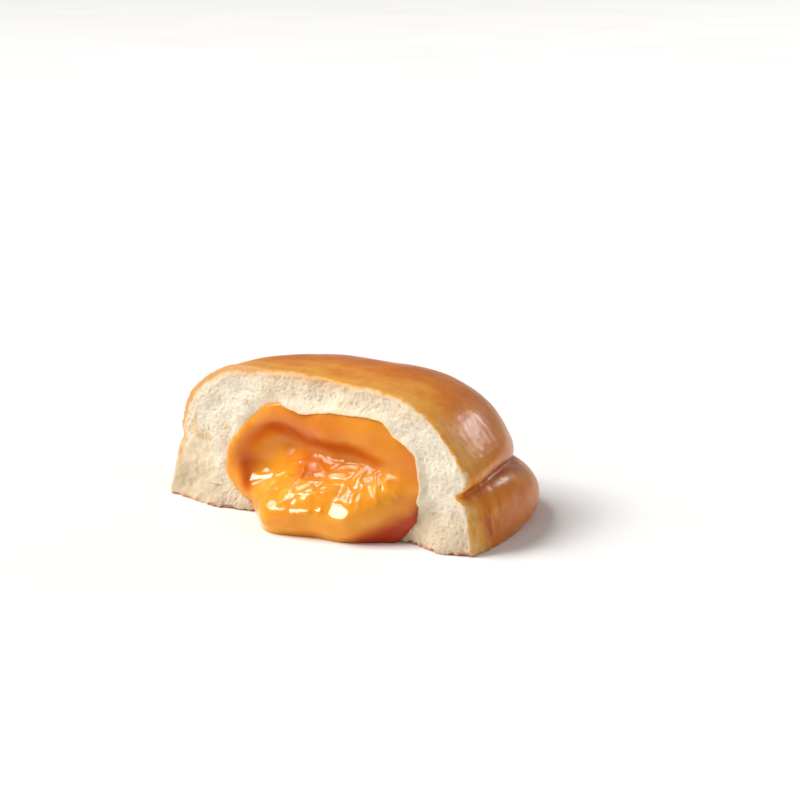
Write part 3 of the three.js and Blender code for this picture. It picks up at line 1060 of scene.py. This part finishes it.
# The camera, fitted to the photograph.
CAMERA_PLACE = (0.3222, -0.4523, 0.1651)
CAMERA_AZIMUTH = 34.67
CAMERA_PITCH = 13.78
CAMERA_VIEW = 22.0
CAMERA_NEAR = 0.01

# The floor, the sun and the light of the room.
FLOOR_SIZE = 12
SUN_DIRECTION = (-0.55, -0.38, 0.74)
SUN_STRENGTH = 2.3
SUN_ANGLE = 30
ROOM_STRENGTH = 0.24

# Boxes of light: a name, the way they lie from the bun, their distance, width, height and brightness, and
# whether they are seen in gloss. One that isn't only lifts the shadows.
LIGHT_BOXES = [
    ("key", (-0.5, -0.05, 0.87), 4, 0.6, 0.7, 20, True),
    ("window", (-0.5, -0.58, 0.64), 4, 0.8, 0.7, 13, True),
    ("back_right", (0.2, 0.88, 0.42), 4, 1, 0.5, 14, True),
    ("front_fill", (-0.35, -0.85, 0.4), 3, 2.4, 1.6, 0.7, False),
    ("right_fill", (0.9, 0.1, 0.5), 3, 2, 1.5, 0.85, False),
]


def make_floor():
    bpy.ops.mesh.primitive_plane_add(size=FLOOR_SIZE, location=(0, 0, 0))
    floor = bpy.context.object
    floor.name = "floor"
    floor.data.materials.append(floor_material())


def make_light(name, kind, direction, distance):
    """A light that shines on the bun from a direction."""
    data = bpy.data.lights.new(name, kind)
    light = bpy.data.objects.new(name, data)
    towards = Vector(direction).normalized()
    light.location = towards * distance
    light.rotation_euler = (-towards).to_track_quat("-Z", "Y").to_euler()
    light.visible_camera = False
    bpy.context.scene.collection.objects.link(light)
    return data


def make_light_box(name, direction, distance, width, height, brightness, in_gloss):
    data = make_light(name, "AREA", direction, distance)
    bpy.data.objects[name].visible_glossy = in_gloss
    data.shape = "RECTANGLE"
    data.size = width
    data.size_y = height
    data.energy = brightness * math.pi * width * height


def make_lights():
    sun = make_light("daylight", "SUN", SUN_DIRECTION, distance=1)
    sun.energy = SUN_STRENGTH
    sun.angle = math.radians(SUN_ANGLE)
    for box in LIGHT_BOXES:
        make_light_box(*box)


def make_room():
    world = bpy.data.worlds.new("studio")
    world.use_nodes = True
    background = world.node_tree.nodes["Background"]
    background.inputs["Color"].default_value = (1, 1, 1, 1)
    background.inputs["Strength"].default_value = ROOM_STRENGTH
    bpy.context.scene.world = world
    bpy.context.scene.view_settings.view_transform = "Standard"


def make_camera():
    data = bpy.data.cameras.new("camera")
    data.angle = math.radians(CAMERA_VIEW)
    data.clip_start = CAMERA_NEAR
    camera = bpy.data.objects.new("camera", data)
    camera.location = CAMERA_PLACE
    camera.rotation_euler = (math.radians(90 - CAMERA_PITCH), 0, math.radians(CAMERA_AZIMUTH))
    bpy.context.scene.collection.objects.link(camera)
    bpy.context.scene.camera = camera


def place_piece(piece, slot, *materials):
    for material in materials:
        piece.data.materials.append(material)
    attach(piece, "root")


make_camera()
make_lights()
make_room()
make_floor()
bun_bread = make_bread()
kaya_jam_run = make_jam()
place_piece(bun_bread, "bread", crust_material(), crumb_material())
place_piece(kaya_jam_run, "jam", jam_material())
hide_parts("bread")
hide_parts("kaya_jam")
